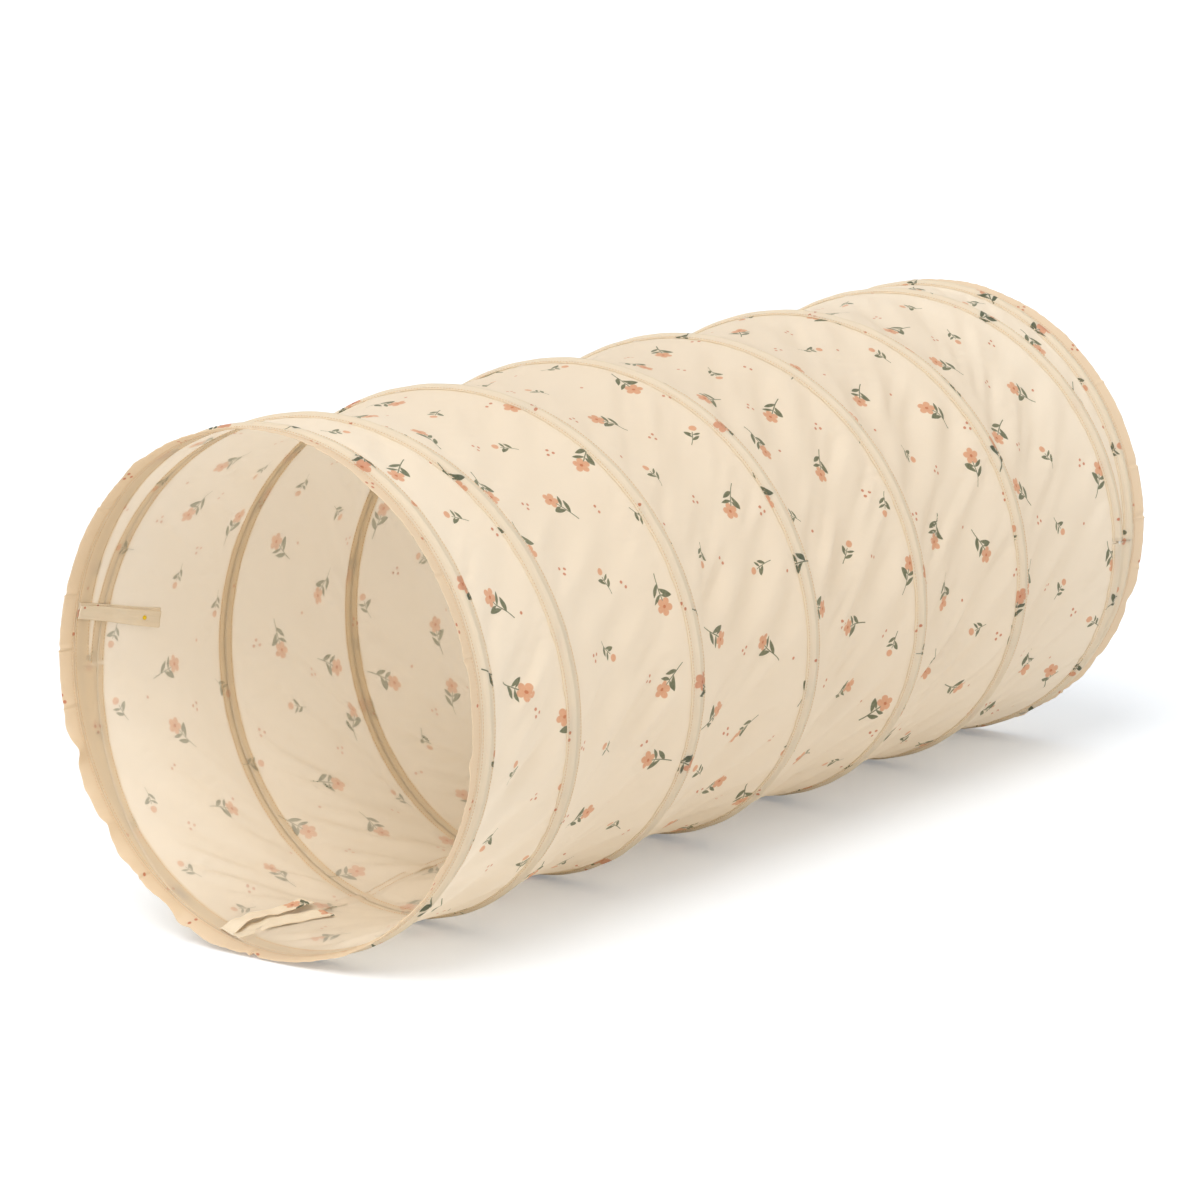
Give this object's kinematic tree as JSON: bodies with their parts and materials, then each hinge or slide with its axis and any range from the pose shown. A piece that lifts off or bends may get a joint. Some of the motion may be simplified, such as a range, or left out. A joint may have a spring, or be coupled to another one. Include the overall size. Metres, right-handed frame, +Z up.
{
  "type": "play tunnel",
  "caption": "Pop-up crawl tunnel for children: a spring coil sewn to a light cloth tube with open round mouths; folds flat along its length.",
  "frame": {"origin": "centre of the tunnel's length, below its axis, on the floor", "axes": "+X along the tunnel from the near mouth, which holds the ties, to the far mouth; +Z up; +Y completes the frame"},
  "size_m": [1.156, 0.48, 0.48],
  "materials": {
    "cream_cloth": "thin, slightly glossy cream taffeta with a small scattered print",
    "casing_tape": "the same cloth folded double, stitched along both edges",
    "spring_steel": "plain drawn spring wire",
    "crimped_aluminium": "plain",
    "pin_yellow": "glossy yellow head"
  },
  "bodies": {
    "near_end": {"coil_wire": "spring_steel", "near_ferrule": "crimped_aluminium", "near_end_casing": "casing_tape", "near_hem": "cream_cloth", "wall_panel_1": "cream_cloth", "left_tie_back": "casing_tape", "left_tie_front": "casing_tape", "tie_pin": "pin_yellow"},
    "turn_1": {"casing_turn_1": "casing_tape", "wall_panel_2": "cream_cloth"},
    "turn_2": {"casing_turn_2": "casing_tape", "wall_panel_3": "cream_cloth"},
    "turn_3": {"casing_turn_3": "casing_tape", "wall_panel_4": "cream_cloth"},
    "turn_4": {"casing_turn_4": "casing_tape", "wall_panel_5": "cream_cloth"},
    "turn_5": {"casing_turn_5": "casing_tape", "wall_panel_6": "cream_cloth"},
    "far_end": {"casing_turn_6": "casing_tape", "wall_panel_7": "cream_cloth", "far_ferrule": "crimped_aluminium", "far_end_casing": "casing_tape", "far_hem": "cream_cloth"},
    "bottom_tie_lower": {"bottom_tie_lower": "casing_tape"},
    "bottom_tie_upper": {"bottom_tie_upper": "casing_tape"}
  },
  "joints": [
    {"name": "turn_1_fold", "type": "slide", "parent": "near_end", "child": "turn_1", "axis": [1, 0, 0], "range_m": [-0.17522, 0], "stiffness_N_per_m": 7.4, "springref_m": 0.02, "deforming": ["coil_wire", "casing_turn_1", "wall_panel_1", "wall_panel_2"]},
    {"name": "turn_2_fold", "type": "slide", "parent": "turn_1", "child": "turn_2", "axis": [1, 0, 0], "range_m": [-0.17522, 0], "stiffness_N_per_m": 7.4, "springref_m": 0.02, "deforming": ["coil_wire", "casing_turn_2", "wall_panel_2", "wall_panel_3"]},
    {"name": "turn_3_fold", "type": "slide", "parent": "turn_2", "child": "turn_3", "axis": [1, 0, 0], "range_m": [-0.17522, 0], "stiffness_N_per_m": 7.4, "springref_m": 0.02, "deforming": ["coil_wire", "casing_turn_3", "wall_panel_3", "wall_panel_4"]},
    {"name": "turn_4_fold", "type": "slide", "parent": "turn_3", "child": "turn_4", "axis": [1, 0, 0], "range_m": [-0.17522, 0], "stiffness_N_per_m": 7.4, "springref_m": 0.02, "deforming": ["coil_wire", "casing_turn_4", "wall_panel_4", "wall_panel_5"]},
    {"name": "turn_5_fold", "type": "slide", "parent": "turn_4", "child": "turn_5", "axis": [1, 0, 0], "range_m": [-0.17522, 0], "stiffness_N_per_m": 7.4, "springref_m": 0.02, "deforming": ["coil_wire", "casing_turn_5", "wall_panel_5", "wall_panel_6"]},
    {"name": "far_end_fold", "type": "slide", "parent": "turn_5", "child": "far_end", "axis": [1, 0, 0], "range_m": [-0.17522, 0], "stiffness_N_per_m": 7.4, "springref_m": 0.02, "deforming": ["coil_wire", "casing_turn_6", "wall_panel_6", "wall_panel_7"]},
    {"name": "bottom_tie_lower_lift", "type": "hinge", "parent": "near_end", "child": "bottom_tie_lower", "pos_m": [-0.5617, 0.0478, 0.01118], "axis": [0, -0.9659, -0.2588], "range_deg": [0, 100]},
    {"name": "bottom_tie_upper_lift", "type": "hinge", "parent": "bottom_tie_lower", "child": "bottom_tie_upper", "pos_m": [-0.5617, 0.05374, 0.01442], "axis": [0, -0.9659, -0.2588], "range_deg": [0, 60]}
  ],
  "couplings": [
    {"joint": "turn_2_fold", "follows": "turn_1_fold", "ratio": 1},
    {"joint": "turn_3_fold", "follows": "turn_1_fold", "ratio": 1},
    {"joint": "turn_4_fold", "follows": "turn_1_fold", "ratio": 1},
    {"joint": "turn_5_fold", "follows": "turn_1_fold", "ratio": 1},
    {"joint": "far_end_fold", "follows": "turn_1_fold", "ratio": 1}
  ]
}
